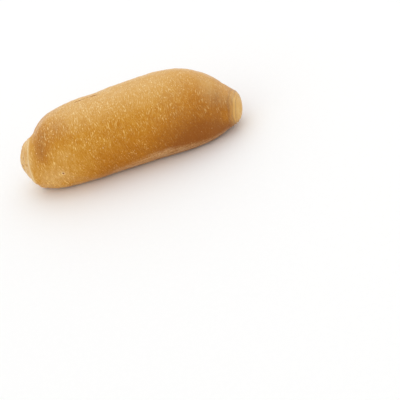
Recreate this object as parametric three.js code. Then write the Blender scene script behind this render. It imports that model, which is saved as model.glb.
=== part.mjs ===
// Olive oil bread roll: one short loaf, rolled up from a sheet of dough and baked on a flat tray.
// Millimetres, +Z up. X runs along the roll, and the origin is on the tray under the middle of its box.

import * as THREE from 'three';

// Cross-section of the body, a little flatter than an ellipse, cut off level where it sat on the tray
const HALF_WIDTH = 26;
const HALF_HEIGHT = 24;
const AXIS_HEIGHT = 19.2;
const SECTION_POWER = 2.15;
const BASE_EDGE = 2.5;

// Swells of the crown: where each is along the roll, how far it spreads, and how much it lifts the top
const CROWN_SWELLS = [
  { at: -27, spread: 18, lift: -0.9 },
  { at: 43, spread: 18, lift: 2.9 },
];

// Each end closes round a button, the end of the rolled-up dough.
// bodyReach and buttonReach are measured from the middle of the roll.
// bodyFlatness and bodyShoulder are the two powers of the curve from the body's side to its end.
// buttonDome is how far its rim lies behind its middle, and neckWidth how wide its step to the body is.
// buttonRise lifts the button within the end, while droop and sidestep carry the whole end down and across.
// lean and turn tilt the end's sections, as slopes against the height and the width.
const LEFT_END = {
  side: -1,
  bodyReach: 60.5,
  bodyFlatness: 4.7,
  bodyShoulder: 2.6,
  buttonReach: 66.4,
  buttonRadius: 12.7,
  buttonDome: 6.5,
  neckWidth: 3.5,
  buttonRise: 2,
  droop: 2.2,
  sidestep: 0.5,
  lean: 0.29,
  turn: 0.05,
};
const RIGHT_END = {
  side: 1,
  bodyReach: 68.7,
  bodyFlatness: 3.5,
  bodyShoulder: 1.6,
  buttonReach: 69.2,
  buttonRadius: 10.5,
  buttonDome: 3,
  neckWidth: 7,
  buttonRise: 0,
  droop: 8.5,
  sidestep: -8.2,
  lean: 0.22,
  turn: 0.25,
};

// Heel of the left end: its underside is full where the dough slumped, round a ring of this radius
const LEFT_HEEL = { swell: 2.6, radius: 14.4, spread: 4 };

// The ends bend away from the straight middle by this power of the distance from it
const BEND_POWER = 2.5;

// Fineness of the surface
const PROFILE_STEPS = 400;
const STATIONS = 66;
const SIDES = 48;

// Crust
const CRUST_COLOUR = 0xc8913f;
const CRUST_ROUGHNESS = 0.6;

const MEAN_RADIUS = (HALF_WIDTH + HALF_HEIGHT) / 2;

const { smoothstep, lerp } = THREE.MathUtils;

// A power that keeps the sign of what it raises.
function signedPower(value, power) {
  return Math.sign(value) * Math.abs(value) ** power;
}

// A bell curve, 1 in the middle and fading to nothing at about twice its spread.
function bell(offset, spread) {
  return Math.exp(-((offset / spread) ** 2));
}

// Height after the loaf has settled on the tray: level below it, and rounded over BASE_EDGE on either side.
function settle(height) {
  if (height >= BASE_EDGE) {
    return height;
  }
  if (height <= -BASE_EDGE) {
    return 0;
  }
  return (height + BASE_EDGE) ** 2 / (4 * BASE_EDGE);
}

// How far a radius lies inside an end's button: 1 well within it, 0 on the body.
function insideButton(end, radius) {
  return smoothstep(end.buttonRadius - radius, -end.neckWidth / 2, end.neckWidth / 2);
}

// Profile of one end, from its tip to the middle of the roll: x, and the share of the full girth there.
function endProfile(end) {
  const points = [];
  for (let i = 0; i <= PROFILE_STEPS; i += 1) {
    const angle = (Math.PI / 2) * (i / PROFILE_STEPS);
    const girth = Math.sin(angle) ** (2 / end.bodyShoulder);
    const radius = girth * MEAN_RADIUS;
    const bodyX = end.bodyReach * Math.max(Math.cos(angle), 0) ** (2 / end.bodyFlatness);
    const buttonX = end.buttonReach - end.buttonDome * (radius / end.buttonRadius) ** 2;
    const x = lerp(bodyX, buttonX, insideButton(end, radius));
    points.push({ x: end.side * x, girth });
  }
  return points;
}

// Stations from the right tip to the left one, evenly spaced along the profile.
function evenStations() {
  const leftProfile = endProfile(LEFT_END).reverse();
  const profile = [...endProfile(RIGHT_END), ...leftProfile.slice(1)];
  const lengths = [0];
  for (let i = 1; i < profile.length; i += 1) {
    const stepX = profile[i].x - profile[i - 1].x;
    const stepRadius = (profile[i].girth - profile[i - 1].girth) * MEAN_RADIUS;
    lengths.push(lengths[i - 1] + Math.hypot(stepX, stepRadius));
  }
  const stations = [];
  let segment = 1;
  for (let i = 0; i <= STATIONS; i += 1) {
    const length = (lengths[lengths.length - 1] * i) / STATIONS;
    while (segment < lengths.length - 1 && lengths[segment] < length) {
      segment += 1;
    }
    const share = (length - lengths[segment - 1]) / (lengths[segment] - lengths[segment - 1]);
    stations.push({
      x: lerp(profile[segment - 1].x, profile[segment].x, share),
      girth: lerp(profile[segment - 1].girth, profile[segment].girth, share),
    });
  }
  return stations;
}

// Rise or dip of the crown at x.
function crownLift(x) {
  return CROWN_SWELLS.reduce((sum, swell) => {
    return sum + swell.lift * bell(x - swell.at, swell.spread);
  }, 0);
}

// Swelling of the left end's underside, at a radius of the end; upward runs from -1 below to 1 on top.
function heelSwell(end, radius, upward) {
  if (end !== LEFT_END) {
    return 0;
  }
  const underShare = (1 - upward) / 2;
  return LEFT_HEEL.swell * underShare ** 2 * bell(radius - LEFT_HEEL.radius, LEFT_HEEL.spread);
}

// Point of the surface at a station, at an angle that turns from the +Y side over the top.
function surfacePoint(station, angle) {
  const { x, girth } = station;
  const end = x > 0 ? RIGHT_END : LEFT_END;
  const bend = (Math.abs(x) / end.buttonReach) ** BEND_POWER;
  const outward = Math.cos(angle);
  const upward = Math.sin(angle);
  const radius = girth * MEAN_RADIUS;
  const halfHeight = HALF_HEIGHT + (crownLift(x) * (1 + upward)) / 2;
  const swell = heelSwell(end, radius, upward);
  const across = HALF_WIDTH * girth * signedPower(outward, 2 / SECTION_POWER) + swell * outward;
  const above = halfHeight * girth * signedPower(upward, 2 / SECTION_POWER) + swell * upward;
  const rise = end.buttonRise * insideButton(end, radius);
  const height = AXIS_HEIGHT - end.droop * bend + rise + above;
  return new THREE.Vector3(
    x + bend * (end.turn * across + end.lean * above),
    end.sidestep * bend + across,
    settle(height),
  );
}

// Closed surface of the loaf: rings at the stations, closed by a fan at each tip.
function loafGeometry() {
  const stations = evenStations();
  const points = [surfacePoint(stations[0], 0)];
  for (const station of stations.slice(1, -1)) {
    for (let j = 0; j < SIDES; j += 1) {
      points.push(surfacePoint(station, (2 * Math.PI * j) / SIDES));
    }
  }
  points.push(surfacePoint(stations[STATIONS], 0));

  const rings = STATIONS - 1;
  const leftTip = points.length - 1;
  const vertexAt = (ring, j) => 1 + ring * SIDES + (j % SIDES);
  const faces = [];
  for (let j = 0; j < SIDES; j += 1) {
    faces.push(0, vertexAt(0, j), vertexAt(0, j + 1));
    for (let ring = 0; ring < rings - 1; ring += 1) {
      const near = vertexAt(ring, j);
      const far = vertexAt(ring + 1, j + 1);
      faces.push(near, vertexAt(ring + 1, j), far);
      faces.push(near, far, vertexAt(ring, j + 1));
    }
    faces.push(leftTip, vertexAt(rings - 1, j + 1), vertexAt(rings - 1, j));
  }

  const geometry = new THREE.BufferGeometry().setFromPoints(points);
  geometry.setIndex(faces);
  geometry.computeBoundingBox();
  const middle = geometry.boundingBox.getCenter(new THREE.Vector3());
  geometry.translate(-middle.x, -middle.y, 0);
  geometry.computeVertexNormals();
  return geometry;
}

const crust = new THREE.MeshStandardMaterial({
  color: CRUST_COLOUR,
  roughness: CRUST_ROUGHNESS,
  metalness: 0,
});

const loaf = new THREE.Mesh(loafGeometry(), crust);
loaf.name = 'bread_roll';

const roll = new THREE.Group();
roll.add(loaf);

export default roll;
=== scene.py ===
"""Olive oil bread roll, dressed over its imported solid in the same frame.

The loaf is one closed surface on a grid: a profile carried along the roll and turned round it, with the
relief of its crust laid along the normals. The crust's finish is worked out from the loaf's own coordinates
and from masks kept on its points. Sizes of the loaf are in millimetres, as in the part's source; the scene
is in metres.
"""

import logging
import math
from dataclasses import dataclass
from enum import Enum
from functools import partial, reduce
from typing import Protocol

import bpy
import numpy as np
from mathutils import Matrix, Vector


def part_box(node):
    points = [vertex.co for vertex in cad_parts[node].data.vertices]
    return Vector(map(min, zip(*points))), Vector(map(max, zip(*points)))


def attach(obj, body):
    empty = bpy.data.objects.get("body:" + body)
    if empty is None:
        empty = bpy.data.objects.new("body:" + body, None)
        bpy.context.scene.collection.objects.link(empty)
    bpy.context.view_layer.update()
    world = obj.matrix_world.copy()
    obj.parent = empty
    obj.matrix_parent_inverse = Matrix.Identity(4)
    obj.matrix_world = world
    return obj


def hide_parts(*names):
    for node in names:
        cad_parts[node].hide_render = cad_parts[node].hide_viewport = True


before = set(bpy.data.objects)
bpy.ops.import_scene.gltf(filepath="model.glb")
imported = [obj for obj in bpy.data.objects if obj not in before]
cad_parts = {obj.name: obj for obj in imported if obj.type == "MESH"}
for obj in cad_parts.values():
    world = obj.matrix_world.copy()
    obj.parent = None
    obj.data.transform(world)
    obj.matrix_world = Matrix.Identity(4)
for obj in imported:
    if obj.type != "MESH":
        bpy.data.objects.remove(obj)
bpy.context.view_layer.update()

MM = 0.001
FULL_TURN = 2.0 * math.pi
SOLID = "bread_roll"

# Width of a crease at its two ends, as a share of its width in the middle.
LINE_TIP = 0.55
# Middle of a noise node's range.
NOISE_MIDDLE = 0.5
# Places of the colour sockets on a Mix node, which has a pair of inputs for each type of value.
MIX_FIRST, MIX_SECOND, MIX_RESULT = 6, 7, 2

Array = np.ndarray
Socket = bpy.types.NodeSocket
Colour = tuple[float, float, float]
Place = tuple[float, float, float]
Span = tuple[float, float]
Weights = tuple[tuple[str, float], ...]

log = logging.getLogger("bread_roll")


def smooth_step(start: float, end: float, value: Array) -> Array:
    """Ease from 0 at start to 1 at end; start may be the larger of the two."""
    share = np.clip((value - start) / (end - start), 0.0, 1.0)
    return share * share * (3.0 - 2.0 * share)


def bell(offset: Array, spread: float | Array) -> Array:
    """Bell curve: 1 at no offset, fading to nothing at about twice the spread."""
    return np.exp(-((offset / spread) ** 2))


def signed_power(value: Array, power: float) -> Array:
    """Power of the size of a value, with the value's sign."""
    return np.sign(value) * np.abs(value) ** power


class EndName(Enum):
    """The two ends of the roll, by the side of the frame that they lie on."""

    LEFT = -1
    RIGHT = 1


class CrustMask(Enum):
    """Masks kept on the loaf's points for its finish.

    MARKED is how strongly the flecks and the mottle show; the others are how strong what they name is.
    """

    # Browning of the crust, with painted shade where it faces down and in the left end's hollows.
    BROWNED_AND_SHADED = "browned_and_shaded"
    # Pale crust, with painted light on the lower left end and along the left end's lip.
    PALE_AND_LIT = "pale"
    CREASE = "crease"
    COIL = "coil"
    BASE_RIM = "base_rim"
    # Painted sheen: a pale gloss painted where the crust faces up, along its far top edge and on the ends.
    BLOOM = "painted_sheen"
    MARKED = "marked"


@dataclass(frozen=True)
class EndShape:
    """One end of the loaf, closed round a button, the end of the rolled-up dough (mm).

    The body's flatness and shoulder are the powers of its superellipse. The end sinks by its droop, moves
    across by its sidestep, and tilts by lean with the height and by turn with the width.
    """

    name: EndName
    body_reach: float
    body_flatness: float
    body_shoulder: float
    button_reach: float
    button_radius: float
    button_dome: float
    neck_width: float
    button_rise: float
    droop: float
    sidestep: float
    lean: float
    turn: float

    def inside_button(self, radius: Array) -> Array:
        """Share of the way onto the button: 1 well within it, 0 on the body."""
        half_neck = self.neck_width / 2.0
        return smooth_step(-half_neck, half_neck, self.button_radius - radius)

    def profile(self, mean_radius: float, steps: int) -> tuple[Array, Array]:
        """Profile from the tip to the middle of the roll.

        The body is a superellipse in its length and its girth. Inside the button's radius it gives way,
        over the neck, to a shallow paraboloid.

        Args:
            mean_radius: Radius of the body's full girth.
            steps: Number of steps along the profile.

        Returns:
            The places along the roll, and the share of the full girth at each.
        """
        angle = np.linspace(0.0, math.pi / 2.0, steps + 1)
        girth = np.sin(angle) ** (2.0 / self.body_shoulder)
        radius = girth * mean_radius
        body = self.body_reach * np.maximum(np.cos(angle), 0.0) ** (2.0 / self.body_flatness)
        button = self.button_reach - self.button_dome * (radius / self.button_radius) ** 2
        along = body + (button - body) * self.inside_button(radius)
        return self.name.value * along, girth


@dataclass(frozen=True)
class Swell:
    """A rise or dip of the crown: its place along the roll, its spread and how much it lifts (mm)."""

    at: float
    spread: float
    lift: float


@dataclass(frozen=True)
class Heel:
    """Fullness of the left end's underside, round a ring of the end (mm)."""

    swell: float = 2.6
    radius: float = 14.4
    spread: float = 4.0


@dataclass(frozen=True)
class LoafSurface:
    """The loaf's surface on its grid of stations by sides (mm).

    along, radius and angle are the station's place, its distance from the roll's axis and the turn round
    the axis, from the far side over the top. points and normals hold three numbers for each grid point.
    """

    along: Array
    radius: Array
    angle: Array
    points: Array
    normals: Array

    def at_end(self, end: EndName) -> Array:
        """1 on the half of the roll at an end, 0 on the other half."""
        return (np.sign(self.along) == end.value).astype(float)

    def near(self, place: Place, spread: float) -> Array:
        """Bell round a place on the loaf, by straight distance from it."""
        return bell(np.linalg.norm(self.points - np.array(place), axis=-1), spread)

    def near_line(self, start: Array, end: Array, spread: float) -> Array:
        """Bell round the straight line between two places, narrowing towards them as an ellipse does.

        Args:
            start: First place.
            end: Second place.
            spread: Spread of the bell in the middle of the line.

        Returns:
            The bell of each point's distance from the nearest point of the line.
        """
        line = end - start
        from_start = self.points - start
        share = np.clip(from_start @ line / (line @ line), 0.0, 1.0)
        width = np.sqrt(np.maximum(1.0 - (2.0 * share - 1.0) ** 2, LINE_TIP ** 2))
        return bell(np.linalg.norm(from_start - share[..., None] * line, axis=-1), spread * width)


@dataclass(frozen=True)
class LoafForm:
    """The plain form of the loaf, with the sizes of the part's source (mm)."""

    left: EndShape = EndShape(
        name=EndName.LEFT,
        body_reach=60.5,
        body_flatness=4.7,
        body_shoulder=2.6,
        button_reach=66.4,
        button_radius=12.7,
        button_dome=6.5,
        neck_width=3.5,
        button_rise=2.0,
        droop=2.2,
        sidestep=0.5,
        lean=0.29,
        turn=0.05,
    )
    right: EndShape = EndShape(
        name=EndName.RIGHT,
        body_reach=68.7,
        body_flatness=3.5,
        body_shoulder=1.6,
        button_reach=69.2,
        button_radius=10.5,
        button_dome=3.0,
        neck_width=7.0,
        button_rise=0.0,
        droop=8.5,
        sidestep=-8.2,
        lean=0.22,
        turn=0.25,
    )
    crown_swells: tuple[Swell, ...] = (Swell(-27.0, 18.0, -0.9), Swell(43.0, 18.0, 2.9))
    heel: Heel = Heel()
    half_width: float = 26.0
    half_height: float = 24.0
    axis_height: float = 19.2
    section_power: float = 2.15
    base_edge: float = 2.5
    bend_power: float = 2.5
    profile_steps: int = 1600

    @property
    def mean_radius(self) -> float:
        """Radius of the full girth, between the half width and the half height."""
        return (self.half_width + self.half_height) / 2.0

    def stations(self, count: int) -> tuple[Array, Array]:
        """Stations from the right tip to the left one, evenly spaced along the profile.

        Args:
            count: Number of stations, with both tips.

        Returns:
            The places along the roll, and the share of the full girth at each.
        """
        right_along, right_girth = self.right.profile(self.mean_radius, self.profile_steps)
        left_along, left_girth = self.left.profile(self.mean_radius, self.profile_steps)
        along = np.concatenate([right_along, left_along[-2::-1]])
        girth = np.concatenate([right_girth, left_girth[-2::-1]])
        steps = np.hypot(np.diff(along), np.diff(girth) * self.mean_radius)
        length = np.concatenate([[0.0], np.cumsum(steps)])
        even = np.linspace(0.0, length[-1], count)
        return np.interp(even, length, along), np.interp(even, length, girth)

    def settle(self, height: Array) -> Array:
        """Heights after the loaf has settled on the tray: level at 0, and a parabola over the base's edge.

        Args:
            height: Heights before it settles.

        Returns:
            The settled heights.
        """
        edge = self.base_edge
        rounded = (np.clip(height, -edge, edge) + edge) ** 2 / (4.0 * edge)
        return np.where(height >= edge, height, rounded)

    def points(self, along: Array, girth: Array, angle: Array) -> Array:
        """Points of the surface for stations and angles.

        Each section is a superellipse, lifted by the crown's swells above and by the heel below. Towards
        the ends the sections droop, step sideways and tilt by a power of the distance from the middle, and
        the whole loaf is settled on the tray.

        Args:
            along: Places of the stations, as a column.
            girth: Share of the full girth at each station, as a column.
            angle: Angles round the roll, as a row.

        Returns:
            Grid of points, before it is fitted to the solid.
        """

        def of_end(field_name: str) -> Array:
            """A size of the end that each station belongs to."""
            return np.where(along > 0.0, getattr(self.right, field_name), getattr(self.left, field_name))

        outward, upward = np.cos(angle), np.sin(angle)
        radius = girth * self.mean_radius
        bend = (np.abs(along) / of_end("button_reach")) ** self.bend_power
        lift = sum(swell.lift * bell(along - swell.at, swell.spread) for swell in self.crown_swells)
        half_height = self.half_height + lift * (1.0 + upward) / 2.0
        under = ((1.0 - upward) / 2.0) ** 2 * (along <= 0.0)
        heel = self.heel.swell * under * bell(radius - self.heel.radius, self.heel.spread)
        power = 2.0 / self.section_power
        across = self.half_width * girth * signed_power(outward, power) + heel * outward
        above = half_height * girth * signed_power(upward, power) + heel * upward
        inside = np.where(along > 0.0, self.right.inside_button(radius), self.left.inside_button(radius))
        height = self.axis_height - of_end("droop") * bend + of_end("button_rise") * inside + above
        x = along + bend * (of_end("turn") * across + of_end("lean") * above)
        y = of_end("sidestep") * bend + across
        return np.stack(np.broadcast_arrays(x, y, self.settle(height)), axis=-1)

    def surface(self, stations: int, angle: Array, low: Array, high: Array) -> LoafSurface:
        """The surface on a grid, fitted to a box.

        Args:
            stations: Number of stations along the roll, with both tips.
            angle: Angles round the roll.
            low: Lowest corner of the box.
            high: Highest corner of the box.

        Returns:
            The surface, with the normals of its grid.
        """
        along, girth = (values[:, None] for values in self.stations(stations))
        turned = angle[None, :]
        points = self.points(along, girth, turned)
        own_low = points.min(axis=(0, 1))
        own_high = points.max(axis=(0, 1))
        points = low + (points - own_low) * (high - low) / (own_high - own_low)
        down_the_roll = np.gradient(points, axis=0)
        round_the_roll = np.roll(points, -1, axis=1) - np.roll(points, 1, axis=1)
        normals = np.cross(down_the_roll, round_the_roll)
        normals[0] = normals[1].mean(axis=0)
        normals[-1] = normals[-2].mean(axis=0)
        normals /= np.linalg.norm(normals, axis=-1, keepdims=True)
        return LoafSurface(along, girth * self.mean_radius, turned, points, normals)


class Relief(Protocol):
    """Anything that raises or sinks the crust."""

    def height(self, surface: LoafSurface) -> Array:
        """Heights along the normals (mm)."""


class Tint(Protocol):
    """Anything that strengthens a mask of the crust's finish from place to place."""

    def share(self, surface: LoafSurface) -> Array:
        """What it adds to the mask."""


@dataclass(frozen=True)
class Ripple:
    """A band of waves in space (mm).

    depth is the spread of their heights; along and across are their shortest and longest lengths along the
    roll and across it.
    """

    depth: float
    along: Span
    across: Span
    seed: int
    waves: int = 40

    def height(self, surface: LoafSurface) -> Array:
        """Heights of the ripple.

        It is a sum of cosines of the place, each with its own direction, length and start drawn from the
        seed, and scaled to the ripple's depth.

        Args:
            surface: Surface that the ripple lies on.

        Returns:
            Heights along the normals.
        """
        draw = np.random.default_rng(self.seed)
        direction = draw.normal(size=(self.waves, 3))
        direction /= np.linalg.norm(direction, axis=1, keepdims=True)
        share = draw.uniform(size=(self.waves, 1))
        shortest = np.array([self.along[0], self.across[0], self.across[0]])
        longest = np.array([self.along[1], self.across[1], self.across[1]])
        waves = FULL_TURN * direction / (shortest + (longest - shortest) * share)
        start = draw.uniform(0.0, FULL_TURN, size=self.waves)
        total = np.cos(surface.points @ waves.T + start).sum(axis=-1)
        return self.depth * math.sqrt(2.0 / self.waves) * total


@dataclass(frozen=True)
class EndCoil:
    """Fine spiral ridges of the rolled-up dough on a button, fading out at reach from its middle (mm)."""

    end: EndName
    reach: float
    pitch: float
    depth: float
    wander: Ripple = Ripple(0.18, (6.0, 14.0), (6.0, 14.0), seed=11)
    fade_pitches: float = 2.0

    def height(self, surface: LoafSurface) -> Array:
        """Heights of the spiral's ridges and grooves."""
        return self.depth * self.share(surface)

    def share(self, surface: LoafSurface) -> Array:
        """The spiral from 1 on its ridges to -1 in its grooves.

        It is a cosine of the radius in pitches plus the turn round the button.

        Args:
            surface: Surface of the loaf.

        Returns:
            The spiral's value at each point.
        """
        turns = surface.radius / self.pitch - self.end.value * surface.angle / FULL_TURN
        ridges = np.cos(FULL_TURN * (turns + self.wander.height(surface)))
        fade = smooth_step(self.reach, self.reach - self.fade_pitches * self.pitch, surface.radius)
        middle = smooth_step(0.0, self.pitch, surface.radius)
        return ridges * fade * middle * surface.at_end(self.end)


@dataclass(frozen=True)
class Crease:
    """A short crease in the crust between two places, with a soft lip along its near side (mm)."""

    start: Place
    end: Place
    opening: float
    half_width: float = 0.50
    depth: float = 0.60
    lip_offset: float = 1.4
    lip_width: float = 0.7
    lip_height: float = 0.16

    def share(self, surface: LoafSurface) -> Array:
        """How far the crease is open at each point, from 0 to its opening."""
        return self.opening * surface.near_line(np.array(self.start), np.array(self.end), self.half_width)

    def height(self, surface: LoafSurface) -> Array:
        """Heights of the crease: sunk where it is open, and raised along its lip.

        Args:
            surface: Surface of the loaf.

        Returns:
            Heights along the normals.
        """
        near_side = np.array([0.0, -self.lip_offset, 0.0])
        lip = surface.near_line(self.start + near_side, self.end + near_side, self.lip_width)
        return self.lip_height * self.opening * lip - self.depth * self.share(surface)


@dataclass(frozen=True)
class Sweep:
    """A tint that comes in along the roll and with the way that its crust faces.

    slope holds heights of the normal, from -1 facing down to 1 facing up, along places along the roll (mm),
    and aside how far the crust faces the far side: first where the tint starts, then where it is full.
    """

    strength: float
    slope: Span | None = None
    along: Span | None = None
    aside: Span | None = None

    def share(self, surface: LoafSurface) -> Array:
        """The tint's strength times its eased shares of the way along the roll and of the ways it faces.

        Args:
            surface: Surface of the loaf.

        Returns:
            The tint at each point.
        """
        tint = np.full(surface.points.shape[:2], self.strength)
        along = surface.points[..., 0]
        _, aside, slope = np.moveaxis(surface.normals, -1, 0)
        for span, value in ((self.slope, slope), (self.along, along), (self.aside, aside)):
            if span is not None:
                tint *= smooth_step(*span, value)
        return tint


@dataclass(frozen=True)
class Patch:
    """A round tint about a place on the crust, or a swelling or hollow of that height (mm)."""

    strength: float
    place: Place
    spread: float

    def share(self, surface: LoafSurface) -> Array:
        """The patch's strength times a bell of the distance from its place."""
        return self.strength * surface.near(self.place, self.spread)

    height = share


@dataclass(frozen=True)
class EndHoop:
    """A tint in a hoop round the near side of an end, or a raised or sunk ring of that height (mm).

    The dip draws it in towards the end's middle. comes and goes, between which it fades in and out, and the
    dip's place and spread are angles in degrees, from the far side over the top.
    """

    strength: float
    end: EndName
    radius: float
    spread: float
    dip: float = 0.0
    dip_at: float = 157.0
    dip_spread: float = 24.0
    comes: Span = (90.0, 110.0)
    goes: Span = (195.0, 210.0)

    def share(self, surface: LoafSurface) -> Array:
        """The hoop's strength times a bell of the distance from it, eased in and out round the end.

        Args:
            surface: Surface of the loaf.

        Returns:
            The tint or the height at each point.
        """
        turn = np.degrees(surface.angle)
        hoop = self.radius - self.dip * bell(turn - self.dip_at, self.dip_spread)
        stretch = smooth_step(*self.comes, turn) * smooth_step(*reversed(self.goes), turn)
        return self.strength * stretch * bell(surface.radius - hoop, self.spread) * surface.at_end(self.end)

    height = share


@dataclass(frozen=True)
class EndDisc:
    """A tint over the middle of an end, from nothing at its outer radius to full at its inner one (mm)."""

    strength: float
    end: EndName
    outer: float
    inner: float

    def share(self, surface: LoafSurface) -> Array:
        """The tint's strength times the eased share of the way from the outer radius to the inner one."""
        inward = smooth_step(self.outer, self.inner, surface.radius)
        return self.strength * surface.at_end(self.end) * inward


@dataclass(frozen=True)
class BaseRim:
    """The pale dusty rim above the base, partly painted light from below, higher in one stretch of the roll
    than elsewhere (mm).
    """

    level: float = 3.5
    rise: float = 6.5
    rise_at: float = 16.0
    rise_spread: float = 24.0
    edge: float = 2.0

    def share(self, surface: LoafSurface) -> Array:
        """1 below the rim's upper edge and 0 above it; the edge rises by a bell of the place along.

        Args:
            surface: Surface of the loaf.

        Returns:
            The rim's mask at each point.
        """
        x, _, z = np.moveaxis(surface.points, -1, 0)
        top = self.level + self.rise * bell(x - self.rise_at, self.rise_spread)
        return smooth_step(self.edge, -self.edge, z - top)


@dataclass(frozen=True)
class Cloud:
    """Cloudy noise: clouds to the millimetre along the roll and across it, octaves and their strength."""

    along: float
    across: float
    octaves: float = 2.0
    roughness: float = 0.5


@dataclass(frozen=True)
class Ease:
    """An eased step from low at start to high at end."""

    start: float
    end: float
    low: float = 0.0
    high: float = 1.0


class NodeSheet:
    """A material's node tree, with short calls for the nodes that the finishes use."""

    def __init__(self, name: str) -> None:
        """Start an empty material.

        Args:
            name: Name of the material.
        """
        self.material = bpy.data.materials.new(name)
        self.material.use_nodes = True
        self.tree = self.material.node_tree
        self.tree.nodes.clear()

    def node(self, kind: str, inputs: dict[str, object] | None = None, **settings: str) -> bpy.types.Node:
        """Add a node.

        Args:
            kind: Type name of the node.
            inputs: Values or sockets for its inputs, by name.
            **settings: Attributes of the node.

        Returns:
            The node.
        """
        made = self.tree.nodes.new(kind)
        for key, value in settings.items():
            setattr(made, key, value)
        for key, value in (inputs or {}).items():
            self.feed(made.inputs[key], value)
        return made

    def feed(self, target: Socket, value: object) -> None:
        """Give an input a socket to follow, or a fixed value.

        Args:
            target: Input to feed.
            value: Socket or value.
        """
        if isinstance(value, Socket):
            self.tree.links.new(value, target)
        else:
            target.default_value = value

    def worked(self, kind: str, operation: str, values: tuple[object, ...]) -> bpy.types.Node:
        """Add a node that does one sum on its inputs.

        Args:
            kind: Type name of the node.
            operation: Name of the sum.
            values: Values or sockets for its inputs, in their order.

        Returns:
            The node.
        """
        made = self.node(kind, operation=operation)
        for target, value in zip(made.inputs, values):
            self.feed(target, value)
        return made

    def math(self, operation: str, *values: object) -> Socket:
        """Result of one sum on numbers, fixed or followed."""
        return self.worked("ShaderNodeMath", operation, values).outputs[0]

    def vector_math(self, operation: str, *values: object) -> bpy.types.Node:
        """Node of one sum on vectors, fixed or followed."""
        return self.worked("ShaderNodeVectorMath", operation, values)

    def product(self, *factors: object) -> Socket:
        """Product of numbers, fixed or followed; one alone is passed on as it is."""
        return reduce(partial(self.math, "MULTIPLY"), factors)

    def total(self, *parts: tuple[Socket, float]) -> Socket:
        """Sum of sockets, each with its weight.

        Args:
            *parts: Pairs of a socket and its weight.

        Returns:
            The sum's socket.
        """
        result: object = 0.0
        for socket, weight in parts:
            result = self.math("MULTIPLY_ADD", socket, weight, result)
        return result

    def place(self) -> Socket:
        """The object's own coordinates, in millimetres."""
        metres = self.node("ShaderNodeTexCoord").outputs["Object"]
        return self.vector_math("MULTIPLY", metres, (1.0 / MM,) * 3).outputs[0]

    def noise(self, vector: Socket, cloud: Cloud, output: str = "Fac") -> Socket:
        """Cloudy noise of a place.

        Args:
            vector: Place that the noise is worked out from.
            cloud: Sizes of its clouds.
            output: Output of the noise node that is wanted.

        Returns:
            The noise's socket.
        """
        clouds = self.vector_math("MULTIPLY", vector, (cloud.along, cloud.across, cloud.across)).outputs[0]
        inputs = {"Vector": clouds, "Scale": 1.0, "Detail": cloud.octaves, "Roughness": cloud.roughness}
        return self.node("ShaderNodeTexNoise", inputs).outputs[output]

    def spots(self, vector: Socket, cells: float, rarity: float, edge: Ease) -> Socket:
        """Spots scattered one to a cell, of mixed sizes.

        The distance from a cell's middle, made longer by the rarity for all but a few cells, is eased into
        a mask.

        Args:
            vector: Place that the cells are laid out by.
            cells: Cells to the unit of the place.
            rarity: How quickly the spots shrink from cell to cell.
            edge: Distances, in cells, at which a spot starts and is full.

        Returns:
            The spots' mask.
        """
        inputs = {"Vector": vector, "Scale": cells, "Randomness": 1.0}
        voronoi = self.node("ShaderNodeTexVoronoi", inputs)
        chance = self.node("ShaderNodeSeparateColor", {"Color": voronoi.outputs["Color"]}).outputs[0]
        return self.ease(self.total((voronoi.outputs["Distance"], 1.0), (chance, rarity)), edge)

    def ease(self, value: Socket, step: Ease) -> Socket:
        """An eased step of a value.

        Args:
            value: Value to ease.
            step: Where the step starts and ends, and what it gives there.

        Returns:
            The eased value's socket.
        """
        inputs = {
            "Value": value,
            "From Min": step.start,
            "From Max": step.end,
            "To Min": step.low,
            "To Max": step.high,
        }
        return self.node("ShaderNodeMapRange", inputs, interpolation_type="SMOOTHSTEP").outputs[0]

    def blend(self, factor: Socket, first: Socket | Colour, second: Socket | Colour) -> Socket:
        """Colour between two colours.

        Args:
            factor: Share of the second colour.
            first: First colour.
            second: Second colour.

        Returns:
            The blended colour's socket.
        """
        made = self.node("ShaderNodeMix", {"Factor": factor}, data_type="RGBA")
        self.feed(made.inputs[MIX_FIRST], self._opaque(first))
        self.feed(made.inputs[MIX_SECOND], self._opaque(second))
        return made.outputs[MIX_RESULT]

    def scale_of_tones(self, value: Socket, tones: tuple[tuple[float, Colour], ...]) -> Socket:
        """Colour read from a scale of tones.

        Args:
            value: Place on the scale.
            tones: Places and their colours, in order.

        Returns:
            The colour's socket.
        """
        ramp = self.node("ShaderNodeValToRGB", {"Fac": value})
        stops = ramp.color_ramp.elements
        while len(stops) < len(tones):
            stops.new(0.5)
        for stop, (place, colour) in zip(stops, tones):
            stop.position = place
            stop.color = self._opaque(colour)
        return ramp.outputs[0]

    def mask(self, name: CrustMask) -> Socket:
        """A mask kept on the object's points."""
        return self.node("ShaderNodeAttribute", attribute_name=name.value).outputs["Fac"]

    def bump(self, height: Socket, strength: float, depth: float) -> Socket:
        """Normals of a fine relief, by its height, its strength and its depth in metres."""
        inputs = {"Strength": strength, "Distance": depth, "Height": height}
        return self.node("ShaderNodeBump", inputs).outputs[0]

    def finish(self, shader_inputs: dict[str, object]) -> bpy.types.Material:
        """Join a principled shader to the output.

        Args:
            shader_inputs: Values or sockets for the shader's inputs, by name.

        Returns:
            The material.
        """
        shader = self.node("ShaderNodeBsdfPrincipled", shader_inputs)
        self.node("ShaderNodeOutputMaterial", {"Surface": shader.outputs[0]})
        return self.material

    @staticmethod
    def _opaque(colour: Socket | Colour) -> Socket | tuple[float, ...]:
        """A fixed colour with full cover; a socket is passed on as it is."""
        return colour if isinstance(colour, Socket) else (*colour, 1.0)


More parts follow.
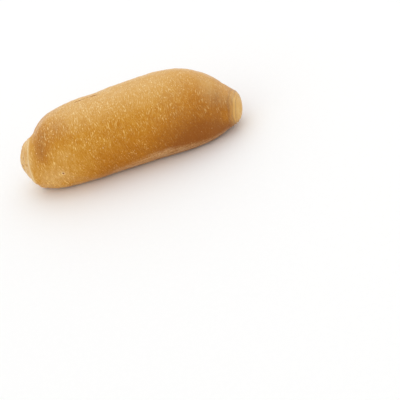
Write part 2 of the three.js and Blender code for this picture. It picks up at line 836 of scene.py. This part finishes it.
@dataclass(frozen=True)
class CrustPatterns:
    """Sockets of the patterns that the crust's colour, gloss and relief are mixed from."""

    clouds: Socket
    mottle: Socket
    streaks: Socket
    lines: Socket
    grain: Socket
    flecks: Socket
    strands: Socket
    freckles: Socket
    pore: Socket
    pore_ring: Socket

    def total(self, sheet: NodeSheet, weights: Weights) -> Socket:
        """Sum of the patterns that the weights name, each with its weight."""
        return sheet.total(*((getattr(self, name), weight) for name, weight in weights))


@dataclass(frozen=True)
class CrustGrain:
    """Sizes of the crust's patterns: clouds of noise, scattered freckles and one open pore (mm)."""

    warp: Cloud = Cloud(0.07, 0.07)
    warp_reach: float = 5.0
    clouds: Cloud = Cloud(0.05, 0.05)
    mottle: Cloud = Cloud(0.19, 0.19, 4.0, 0.62)
    streaks: Cloud = Cloud(1.10, 0.40, 2.0, 0.6)
    lines: Cloud = Cloud(0.16, 0.90, 1.0)
    grain: Cloud = Cloud(1.50, 1.50, 2.0, 0.6)
    patches: Cloud = Cloud(0.085, 0.085, 3.0)
    patch_edge: Ease = Ease(0.38, 0.62, low=0.35)
    dashes: Cloud = Cloud(1.65, 0.72, 1.0)
    dash_edge: Ease = Ease(0.65, 0.71)
    strokes: Cloud = Cloud(2.00, 0.40, 0.0)
    stroke_edge: Ease = Ease(0.69, 0.77, high=0.85)
    strands: Cloud = Cloud(1.30, 0.20, 2.0, 0.6)
    strand_edge: Ease = Ease(0.035, 0.0)
    freckle_cells: float = 0.50
    freckle_rarity: float = 0.34
    freckle_edge: Ease = Ease(0.24, 0.13)
    freckle_along: Ease = Ease(30.0, -45.0, low=0.30)
    pore_place: Place = (-40.32, -24.22, 15.95)
    pore_edge: Ease = Ease(0.85, 0.425)
    pore_ring_edge: Ease = Ease(1.50, 0.90)

    def patterns(self, sheet: NodeSheet) -> CrustPatterns:
        """Work out the patterns from the loaf's coordinates, most of them pulled about by a slow warp.

        Flecks are the stronger of short dashes, which come in patches, and longer strokes. Strands are
        where a drawn-out noise passes the middle of its range.

        Args:
            sheet: Sheet that the nodes are added to.

        Returns:
            The patterns' sockets.
        """
        place = sheet.place()
        pull = sheet.noise(place, self.warp, "Color")
        skin = sheet.vector_math("MULTIPLY_ADD", pull, (self.warp_reach,) * 3, place).outputs[0]
        along = sheet.node("ShaderNodeSeparateXYZ", {"Vector": place}).outputs[0]
        marked = sheet.mask(CrustMask.MARKED)
        patches = sheet.ease(sheet.noise(skin, self.patches), self.patch_edge)
        dashes = sheet.ease(sheet.noise(skin, self.dashes), self.dash_edge)
        strokes = sheet.ease(sheet.noise(skin, self.strokes), self.stroke_edge)
        off_strand = sheet.math("SUBTRACT", sheet.noise(skin, self.strands), NOISE_MIDDLE)
        strands = sheet.ease(sheet.math("ABSOLUTE", off_strand), self.strand_edge)
        freckles = sheet.spots(place, self.freckle_cells, self.freckle_rarity, self.freckle_edge)
        from_pore = sheet.vector_math("DISTANCE", place, self.pore_place).outputs["Value"]
        return CrustPatterns(
            clouds=sheet.noise(skin, self.clouds),
            mottle=sheet.noise(skin, self.mottle),
            streaks=sheet.noise(skin, self.streaks),
            lines=sheet.noise(place, self.lines),
            grain=sheet.noise(place, self.grain),
            flecks=sheet.product(marked, sheet.math("MAXIMUM", sheet.product(dashes, patches), strokes)),
            strands=sheet.product(strands, marked),
            freckles=sheet.product(freckles, sheet.ease(along, self.freckle_along)),
            pore=sheet.ease(from_pore, self.pore_edge),
            pore_ring=sheet.ease(from_pore, self.pore_ring_edge),
        )


@dataclass(frozen=True)
class CrustColours:
    """Linear colours of the crust: tones from pale to brown, carrying painted shade and light, and the
    colours of what lies on them.
    """

    tones: tuple[tuple[float, Colour], ...] = (
        (0.00, (0.770, 0.520, 0.255)),
        (0.14, (0.705, 0.405, 0.125)),
        (0.30, (0.640, 0.322, 0.070)),
        (0.52, (0.585, 0.258, 0.024)),
        (0.74, (0.475, 0.168, 0.005)),
        (1.00, (0.300, 0.088, 0.006)),
    )
    fleck: Colour = (0.94, 0.62, 0.21)
    freckle: Colour = (0.97, 0.76, 0.40)
    # Colour of the painted sheen.
    painted_sheen: Colour = (0.84, 0.62, 0.27)
    # Pale dusty rim, partly painted light from below.
    base_rim: Colour = (0.76, 0.48, 0.22)
    # Dark of the pore, partly painted shade in its pit.
    pore: Colour = (0.28, 0.055, 0.002)
    # Dark of the creases, partly painted shade in the cracks.
    crease: Colour = (0.33, 0.080, 0.003)
    sheen: Colour = (1.0, 0.92, 0.80)


@dataclass(frozen=True)
class CrustFinish:
    """Thin golden crust with a satin gloss, mixed from its colours, its patterns and the loaf's masks.

    The weights are those of patterns or masks in a sum, and each cover is how strongly a colour lies on
    those under it. tone and roughness are what the sums start from.
    """

    colours: CrustColours = CrustColours()
    grain: CrustGrain = CrustGrain()
    unevenness: Weights = (("clouds", 0.30), ("mottle", 0.38), ("streaks", 0.33))
    uneven_middle: float = 0.505
    calm: Ease = Ease(0.3, 1.2, low=1.0, high=0.5)
    tone: float = 0.365
    grain_tone: float = 0.34
    # Tone shifts by mask: the browning with its painted shade darkens, the pale crust with its painted
    # light lightens.
    mask_tones: tuple[tuple[CrustMask, float], ...] = (
        (CrustMask.BROWNED_AND_SHADED, 0.34),
        (CrustMask.PALE_AND_LIT, -0.46),
        (CrustMask.COIL, -0.13),
    )
    # Patchiness of the painted sheen, by the mottle.
    sheen_patchiness: Ease = Ease(0.25, 0.75, low=0.8, high=1.2)
    fresh: Ease = Ease(0.2, 1.7, low=1.0, high=0.35)
    fleck_cover: Ease = Ease(0.2, 1.2, low=0.80, high=0.60)
    dust: Weights = (("grain", 0.6), ("lines", 0.4))
    dust_edge: Ease = Ease(0.36, 0.62)
    # How strongly the painted sheen lies on the crust.
    painted_sheen_cover: float = 0.24
    strand_cover: float = 0.34
    freckle_cover: float = 0.80
    rim_cover: float = 0.70
    pore_ring_cover: float = 0.50
    crease_cover: float = 2.2
    relief: Weights = (
        ("mottle", 0.55),
        ("streaks", 0.45),
        ("grain", 0.35),
        ("flecks", 0.35),
        ("freckles", 0.25),
        ("pore", -0.15),
    )
    relief_strength: float = 0.6
    relief_depth: float = 0.22 * MM
    gloss: Weights = (("mottle", 0.22), ("flecks", 0.10), ("grain", 0.12))
    roughness: float = 0.19
    refraction: float = 1.45
    specular: float = 0.14
    sheen: float = 0.12
    sheen_roughness: float = 0.35

    def build(self) -> bpy.types.Material:
        """Make the material.

        Returns:
            The crust's material.
        """
        sheet = NodeSheet("golden_crust")
        patterns = self.grain.patterns(sheet)
        height = patterns.total(sheet, self.relief)
        return sheet.finish(
            {
                "Base Color": self._colour(sheet, patterns),
                "Roughness": sheet.math("ADD", patterns.total(sheet, self.gloss), self.roughness),
                "Normal": sheet.bump(height, self.relief_strength, self.relief_depth),
                "IOR": self.refraction,
                "Specular IOR Level": self.specular,
                "Sheen Weight": self.sheen,
                "Sheen Roughness": self.sheen_roughness,
                "Sheen Tint": (*self.colours.sheen, 1.0),
            }
        )

    def _colour(self, sheet: NodeSheet, patterns: CrustPatterns) -> Socket:
        """Mix the crust's colour: a tone from the scale, then the colours that lie on it, one over another.

        Args:
            sheet: Sheet that the nodes are added to.
            patterns: Patterns of the crust.

        Returns:
            The colour's socket.
        """
        colours = self.colours
        masks = {name: sheet.mask(name) for name in CrustMask}
        # Mask of the browning, which also carries painted shade.
        browned_and_shaded = masks[CrustMask.BROWNED_AND_SHADED]
        # Mask of the painted sheen.
        painted_sheen = masks[CrustMask.BLOOM]
        uneven = sheet.math("SUBTRACT", patterns.total(sheet, self.unevenness), self.uneven_middle)
        tone = sheet.total(
            (sheet.product(uneven, sheet.ease(browned_and_shaded, self.calm), masks[CrustMask.MARKED]), 1.0),
            (patterns.grain, self.grain_tone),
            *((masks[name], weight) for name, weight in self.mask_tones),
        )
        fleck = sheet.blend(painted_sheen, colours.fleck, colours.freckle)
        fresh = sheet.ease(browned_and_shaded, self.fresh)
        # Patchiness of the painted sheen.
        sheen_patchiness = sheet.ease(patterns.mottle, self.sheen_patchiness)
        dust = sheet.ease(patterns.total(sheet, self.dust), self.dust_edge)
        layers = (
            # the painted sheen over the tone
            (colours.painted_sheen, (painted_sheen, sheen_patchiness, self.painted_sheen_cover)),
            (fleck, (patterns.strands, fresh, self.strand_cover)),
            (fleck, (patterns.flecks, fresh, sheet.ease(painted_sheen, self.fleck_cover))),
            (colours.freckle, (patterns.freckles, self.freckle_cover)),
            (colours.base_rim, (masks[CrustMask.BASE_RIM], dust, self.rim_cover)),
            (colours.freckle, (patterns.pore_ring, self.pore_ring_cover)),
            # the pore's dark, partly painted shade in its pit
            (colours.pore, (patterns.pore,)),
            # the creases' dark, partly painted shade in the cracks
            (colours.crease, (masks[CrustMask.CREASE], self.crease_cover)),
        )
        colour = sheet.scale_of_tones(sheet.math("ADD", tone, self.tone), colours.tones)
        for layer, cover in layers:
            colour = sheet.blend(sheet.product(*cover), colour, layer)
        return colour


@dataclass(frozen=True)
class FloorFinish:
    """Plain pale floor, very slightly uneven."""

    colour: Colour = (0.94, 0.94, 0.935)
    shade: float = 0.98
    grain: Cloud = Cloud(0.35, 0.35, 3.0)
    roughness: Ease = Ease(0.2, 0.8, low=0.55, high=0.65)
    relief_strength: float = 0.1
    relief_depth: float = 0.1 * MM

    def build(self) -> bpy.types.Material:
        """Make the material.

        Returns:
            The floor's material.
        """
        sheet = NodeSheet("pale_floor")
        grain = sheet.noise(sheet.place(), self.grain)
        red, green, blue = (self.shade * part for part in self.colour)
        return sheet.finish(
            {
                "Base Color": sheet.blend(grain, self.colour, (red, green, blue)),
                "Roughness": sheet.ease(grain, self.roughness),
                "Normal": sheet.bump(grain, self.relief_strength, self.relief_depth),
            }
        )


@dataclass(frozen=True)
class BreadRoll:
    """The baked loaf: its form, the relief of its crust and the tints of its finish.

    The brown tints mark where the oven has darkened the crust, and also paint shade where it faces down: on
    the lower flanks, about the right end and in the hollows of the left end; they paint it lighter where it
    faces up. The pale tints mark where it has stayed light, and also paint light on the lower left end, as
    if from below, and a highlight along the left end's lip. The painted sheen is a pale, patchy gloss
    painted where the crust faces up, along its far top edge, on the right nub and along the left end's lip.
    marking is how strongly its flecks and mottle show. The grid's sides are closer by the fineness round
    the crown's creases, at the fine angle. The relief fades out below the firm height (mm).
    """

    form: LoafForm = LoafForm()
    ripples: tuple[Ripple, ...] = (
        Ripple(0.20, (14.0, 34.0), (14.0, 34.0), seed=3),
        Ripple(0.06, (5.0, 9.0), (5.0, 9.0), seed=5),
        Ripple(0.035, (1.8, 3.2), (9.0, 20.0), seed=7),
    )
    coils: tuple[EndCoil, ...] = (
        EndCoil(EndName.LEFT, reach=12.5, pitch=1.9, depth=0.14),
        EndCoil(EndName.RIGHT, reach=12.0, pitch=1.5, depth=0.20),
    )
    rings: tuple[EndHoop, ...] = (
        EndHoop(1.80, EndName.LEFT, 14.2, spread=2.0, comes=(75.0, 105.0), goes=(190.0, 225.0)),
        EndHoop(-0.35, EndName.LEFT, 20.0, spread=2.6, comes=(75.0, 105.0), goes=(190.0, 225.0)),
    )
    dimples: tuple[Patch, ...] = (
        Patch(-0.35, (-47.0, -17.5, 31.5), 7.0),  # hollow of the left face
        Patch(-2.0, (-58.3, 5.2, 29.9), 4.0),  # notch over the left button
        Patch(-0.6, (-47.0, 4.0, 38.0), 9.0),  # saddle of the left shoulder
        Patch(-0.8, (-1.0, 9.0, 42.0), 14.0),  # dip of the crown
        Patch(-0.5, (-65.2, -4.9, 23.5), 4.5),  # dent in the left button
        Patch(0.7, (-60.6, -14.4, 11.0), 5.0),  # swelling under the left lip
        Patch(1.2, (66.0, -10.5, 8.0), 7.0),  # swelling under the right button
        Patch(-0.9, (64.5, -1.3, 22.8), 6.5),  # hollow over the right button
        Patch(-0.2, (-40.2, -24.5, 15.9), 0.8),  # pit of the pore
    )
    creases: tuple[Crease, ...] = (
        Crease((-23.6, 5.0, 41.9), (-21.6, 5.2, 41.9), 0.36),  # first of the crown's row of six
        Crease((-21.0, 5.2, 42.0), (-19.7, 5.1, 42.1), 0.52),
        Crease((-19.1, 5.1, 42.1), (-17.2, 5.3, 42.2), 0.42),
        Crease((-16.3, 5.5, 42.2), (-14.3, 6.0, 42.1), 0.60),
        Crease((-13.6, 6.0, 42.2), (-11.3, 5.6, 42.4), 1.20, half_width=0.68),
        Crease((-10.9, 5.4, 42.5), (-9.6, 5.0, 42.7), 0.72),
        Crease((-63.7, -7.1, 24.8), (-61.5, -12.2, 21.5), 0.50),  # first of the left button's two
        Crease((-66.2, -6.4, 20.3), (-65.8, -8.5, 17.3), 0.55),
    )
    # Browning of the crust together with painted shade: darker where the crust faces down, on the lower
    # flanks, about the right end and in the left end's hollows, and lighter where it faces up.
    browning_and_shade: tuple[Tint, ...] = (
        Sweep(0.71, slope=(0.55, -0.45), along=(-54.0, -12.0)),
        Sweep(0.30, slope=(0.75, -0.1), along=(20.0, 58.0)),
        Sweep(0.16, slope=(1.0, 0.6), along=(45.0, 15.0)),
        Sweep(-0.40, slope=(0.45, 1.0)),
        Sweep(0.50, slope=(0.40, 0.8), along=(-22.0, -46.0)),
        Sweep(0.70, slope=(1.05, 0.35), along=(5.0, 45.0)),
        Sweep(-0.40, along=(5.0, 45.0), aside=(0.1, 0.7)),
        Sweep(-0.35, along=(20.0, -20.0), aside=(0.3, 0.9)),
        Sweep(0.15, along=(8.0, 30.0)),
        Patch(0.32, (-47.5, -16.5, 31.5), 9.0),
        Patch(0.30, (-49.2, -18.1, 29.7), 3.6),
        Patch(0.35, (-47.8, -21.2, 25.8), 4.0),
        Patch(0.35, (-46.5, -10.5, 36.7), 6.0),
        Patch(0.60, (-32.0, -12.0, 39.3), 9.5),
        Patch(0.30, (-2.0, -17.0, 37.8), 12.0),
        Patch(-0.22, (43.0, -19.0, 32.5), 9.0),
        Patch(-0.25, (31.0, -21.5, 32.5), 9.0),
        Patch(0.42, (49.0, -13.0, 34.0), 12.0),
        Patch(0.25, (37.0, -12.5, 39.5), 11.0),
        Patch(0.55, (60.5, -11.5, 24.5), 8.0),
        Patch(-0.85, (61.0, -17.6, 11.8), 6.5),
        Patch(-0.25, (53.0, -20.5, 20.0), 7.0),
        Patch(0.28, (-44.5, -21.0, 28.0), 6.5),
        Patch(0.22, (-53.0, -17.5, 26.0), 5.0),
        EndDisc(0.45, EndName.RIGHT, outer=11.8, inner=9.3),
        EndDisc(-1.0, EndName.RIGHT, outer=10.8, inner=4.5),
    )
    # Pale crust together with painted light: the lower left end made lighter as if lit from below, and a
    # painted highlight along the lip of the left end.
    paling_and_painted_light: tuple[Tint, ...] = (
        EndDisc(0.95, EndName.LEFT, outer=17.0, inner=12.5),
        EndHoop(1.00, EndName.LEFT, 15.2, spread=0.55, dip=1.35),
        EndHoop(0.60, EndName.LEFT, 17.0, spread=2.0, dip=1.35, comes=(75.0, 100.0), goes=(160.0, 180.0)),
        EndDisc(1.11, EndName.RIGHT, outer=10.8, inner=4.5),
        EndHoop(0.60, EndName.RIGHT, 8.2, spread=0.25),
        EndHoop(-0.60, EndName.RIGHT, 6.9, spread=0.50),
        Patch(0.55, (-42.0, -24.0, 19.0), 13.0),
        Patch(0.52, (-52.0, -21.0, 10.0), 9.0),
        Patch(0.25, (-28.0, -25.5, 12.0), 12.0),
        Patch(0.15, (58.5, -4.0, 27.0), 9.0),
        Patch(0.14, (-37.0, -21.0, 30.0), 7.0),
        Patch(0.14, (-13.0, -21.0, 33.0), 9.0),
    )
    # Painted sheen: the crust painted paler where it faces up, along its far top edge, on the right nub and
    # along the left end's lip, where the light's reflection falls.
    painted_sheen: tuple[Tint, ...] = (
        Sweep(1.2, slope=(0.6, 1.15)),
        Sweep(0.9, slope=(0.4, 0.8), aside=(0.1, 0.6)),
        Sweep(0.7, slope=(0.25, 0.7), along=(46.0, 58.0)),
        Sweep(-0.35, slope=(0.5, 0.95), along=(-25.0, -48.0)),
        Sweep(0.14, along=(44.0, 56.0)),
        EndDisc(1.6, EndName.RIGHT, outer=11.5, inner=7.0),
        EndDisc(-0.4, EndName.RIGHT, outer=5.5, inner=2.0),
        EndHoop(1.6, EndName.LEFT, 15.2, spread=0.55, dip=1.35),
        Patch(0.28, (34.0, -20.0, 34.0), 13.0),
        Patch(0.55, (55.5, -8.5, 31.5), 6.0),
        Patch(0.30, (-47.0, -15.5, 32.5), 8.0),
        Patch(0.18, (-53.0, -16.5, 27.5), 5.0),
    )
    marking: tuple[Tint, ...] = (
        Sweep(0.72),
        Sweep(0.55, along=(35.0, -40.0)),
        Sweep(-0.33, slope=(0.5, 0.1)),
        Sweep(-0.15, slope=(0.5, 0.1), along=(5.0, -20.0)),
        Sweep(-0.30, slope=(0.4, 0.75), along=(-20.0, -45.0)),
        Sweep(0.55, slope=(0.5, 0.1), along=(-25.0, -45.0), aside=(0.2, -0.4)),
        Sweep(0.24, slope=(0.75, 0.98), along=(45.0, 15.0)),
        Patch(0.35, (22.0, -10.0, 41.0), 14.0),
        Patch(-0.60, (-54.0, -16.0, 26.0), 6.5),
        Patch(0.35, (-38.0, -25.5, 13.0), 8.0),
        Patch(-0.25, (-29.0, -9.0, 40.5), 10.0),
    )
    base_rim: BaseRim = BaseRim()
    finish: CrustFinish = CrustFinish()
    stations: int = 540
    sides: int = 180
    steps_to_a_side: int = 20
    fine_angle: float = math.radians(82.0)
    fine_spread: float = math.radians(5.0)
    fineness: float = 4.0
    firm_height: float = 4.0

    def angles(self) -> Array:
        """Angles round the roll, spaced so that a bell round the crown's creases has more of them.

        Returns:
            The angles, from 0 up to a full turn.
        """
        fine = np.linspace(0.0, FULL_TURN, self.steps_to_a_side * self.sides + 1)
        closeness = 1.0 + self.fineness * bell(fine - self.fine_angle, self.fine_spread)
        steps = (closeness[1:] + closeness[:-1]) / 2.0
        length = np.concatenate([[0.0], np.cumsum(steps)])
        even = np.linspace(0.0, length[-1], self.sides, endpoint=False)
        return np.interp(even, length, fine)

    def with_relief(self, surface: LoafSurface) -> Array:
        """Points of the surface moved along their normals by the sum of the crust's relief.

        Args:
            surface: Plain surface of the loaf.

        Returns:
            Grid of points, none below the tray.
        """
        kinds: tuple[tuple[Relief, ...], ...] = (
            self.ripples,
            self.coils,
            self.rings,
            self.dimples,
            self.creases,
        )
        height = sum(relief.height(surface) for reliefs in kinds for relief in reliefs)
        height = height * smooth_step(0.0, self.firm_height, surface.points[..., 2])
        points = surface.points + surface.normals * height[..., None]
        points[..., 2] = np.maximum(points[..., 2], 0.0)
        return points

    def masks(self, surface: LoafSurface) -> dict[CrustMask, Array]:
        """Masks of the finish on the grid, each the sum of its tints.

        Args:
            surface: Plain surface of the loaf.

        Returns:
            A value for each grid point, by mask.
        """
        tints: dict[CrustMask, tuple[Tint, ...]] = {
            CrustMask.BROWNED_AND_SHADED: self.browning_and_shade,
            CrustMask.PALE_AND_LIT: self.paling_and_painted_light,
            CrustMask.CREASE: self.creases,
            CrustMask.COIL: self.coils,
            CrustMask.BASE_RIM: (self.base_rim,),
            CrustMask.BLOOM: self.painted_sheen,
            CrustMask.MARKED: self.marking,
        }
        return {name: sum(tint.share(surface) for tint in parts) for name, parts in tints.items()}

    def build(self) -> bpy.types.Object:
        """Make the loaf over its solid and dress it.

        Returns:
            The loaf's object.
        """
        low, high = (np.array(corner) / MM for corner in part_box(SOLID))
        surface = self.form.surface(self.stations, self.angles(), low, high)
        points = self.with_relief(surface)
        mesh = bpy.data.meshes.new("baked_loaf")
        mesh.from_pydata(self._closed(points) * MM, [], self._faces())
        mesh.update()
        mesh.polygons.foreach_set("use_smooth", np.ones(len(mesh.polygons), dtype=bool))
        for name, values in self.masks(surface).items():
            grid = np.broadcast_to(values, points.shape[:2])[..., None]
            layer = mesh.attributes.new(name.value, "FLOAT", "POINT")
            layer.data.foreach_set("value", self._closed(grid).ravel().astype(np.float32))
        mesh.materials.append(self.finish.build())
        loaf = bpy.data.objects.new("baked_loaf", mesh)
        bpy.context.scene.collection.objects.link(loaf)
        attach(loaf, "root")
        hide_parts(SOLID)
        return loaf

    def _closed(self, grid: Array) -> Array:
        """Rows of a grid's values, with only one row for each tip."""
        rings = grid[1:-1].reshape(-1, grid.shape[-1])
        return np.concatenate([grid[0, :1], rings, grid[-1, :1]])

    def _faces(self) -> list[list[int]]:
        """Faces of the closed grid, seen from outside.

        Returns:
            Squares between the rings and a fan of triangles at each tip.
        """
        rings = self.stations - 2
        index = 1 + np.arange(rings * self.sides).reshape(rings, self.sides)
        onward = np.roll(index, -1, axis=1)
        squares = np.stack([index[:-1], index[1:], onward[1:], onward[:-1]], axis=-1).reshape(-1, 4)
        first = np.stack([np.zeros_like(index[0]), index[0], onward[0]], axis=-1)
        last = np.stack([np.full_like(index[-1], index[-1, -1] + 1), onward[-1], index[-1]], axis=-1)
        return squares.tolist() + first.tolist() + last.tolist()


@dataclass(frozen=True)
class Studio:
    """A pale floor under white light from all round, with one broad soft light above."""

    finish: FloorFinish = FloorFinish()
    half_floor: float = 4.0
    floor_gap: float = 0.2 * MM
    surround: float = 0.95
    surround_colour: Colour = (1.0, 1.0, 1.0)
    light_way: Place = (0.15, 0.35, 0.92)
    light_distance: float = 1.5
    light_length: float = 2.4
    light_depth: float = 1.6
    light_power: float = 5.0

    def build(self) -> None:
        """Lay the floor and set the lights."""
        self._floor()
        self._surround()
        self._overhead()
        bpy.context.scene.view_settings.view_transform = "Standard"

    def _floor(self) -> bpy.types.Object:
        """Make the floor, just under the loaf.

        Returns:
            The floor's object.
        """
        side = self.half_floor
        corners = [(-side, -side, 0.0), (side, -side, 0.0), (side, side, 0.0), (-side, side, 0.0)]
        mesh = bpy.data.meshes.new("floor")
        mesh.from_pydata(corners, [], [(0, 1, 2, 3)])
        mesh.materials.append(self.finish.build())
        floor = bpy.data.objects.new("floor", mesh)
        floor.location.z = -self.floor_gap
        bpy.context.scene.collection.objects.link(floor)
        return floor

    def _surround(self) -> None:
        """Set an even white surround."""
        world = bpy.data.worlds.new("white_surround")
        world.use_nodes = True
        background = world.node_tree.nodes["Background"]
        background.inputs["Color"].default_value = (*self.surround_colour, 1.0)
        background.inputs["Strength"].default_value = self.surround
        bpy.context.scene.world = world

    def _overhead(self) -> None:
        """Hang the broad light above and behind the loaf, and turn it to the loaf."""
        data = bpy.data.lights.new("overhead", "AREA")
        data.shape = "RECTANGLE"
        data.size = self.light_length
        data.size_y = self.light_depth
        data.energy = self.light_power
        light = bpy.data.objects.new("overhead", data)
        way = Vector(self.light_way).normalized()
        light.location = way * self.light_distance
        light.rotation_euler = way.to_track_quat("Z", "Y").to_euler()
        bpy.context.scene.collection.objects.link(light)


@dataclass(frozen=True)
class PhotoCamera:
    """The photograph's camera.

    azimuth, elevation and turn are its direction and its turn about the line of sight, in degrees. The aim
    is a point above the middle of the base, and aim_pixel is where on the picture it falls.
    """

    azimuth: float = 12.0
    elevation: float = 33.0
    turn: float = 24.45
    distance: float = 759.64 * MM
    lens: float = 116.39
    sensor: float = 36.0
    nearest: float = 10.0 * MM
    picture: int = 400
    aim_height: float = 20.0 * MM
    aim_pixel: Span = (126.008, 124.129)

    def build(self) -> bpy.types.Object:
        """Place the camera and give it to the scene.

        Returns:
            The camera's object.
        """
        around, above, turn = map(math.radians, (self.azimuth, self.elevation, self.turn))
        level = Vector((math.cos(around), math.sin(around), 0.0))
        behind = math.cos(above)
        back = Vector((math.sin(around) * behind, -math.cos(around) * behind, math.sin(above)))
        upright = back.cross(level)
        right = level * math.cos(turn) - upright * math.sin(turn)
        up = level * math.sin(turn) + upright * math.cos(turn)
        pixel = self.distance * self.sensor / (self.lens * self.picture)
        across, down = ((part - self.picture / 2.0) * pixel for part in self.aim_pixel)
        aim = Vector((0.0, 0.0, self.aim_height))
        place = aim + back * self.distance - right * across + up * down

        data = bpy.data.cameras.new("photo_camera")
        data.lens = self.lens
        data.sensor_width = self.sensor
        data.clip_start = self.nearest
        camera = bpy.data.objects.new("photo_camera", data)
        camera.matrix_world = Matrix.Translation(place) @ Matrix((right, up, back)).transposed().to_4x4()
        bpy.context.scene.collection.objects.link(camera)
        bpy.context.scene.camera = camera
        return camera


def main() -> None:
    """Build the loaf, the studio and the camera in order, and log each."""
    logging.basicConfig(level=logging.INFO, format="%(name)s: %(message)s")
    loaf = BreadRoll().build()
    log.info("%s: %d points, %d faces", loaf.name, len(loaf.data.vertices), len(loaf.data.polygons))
    Studio().build()
    log.info("floor and lights set")
    camera = PhotoCamera().build()
    log.info("%s placed", camera.name)


if __name__ == "__main__":
    main()
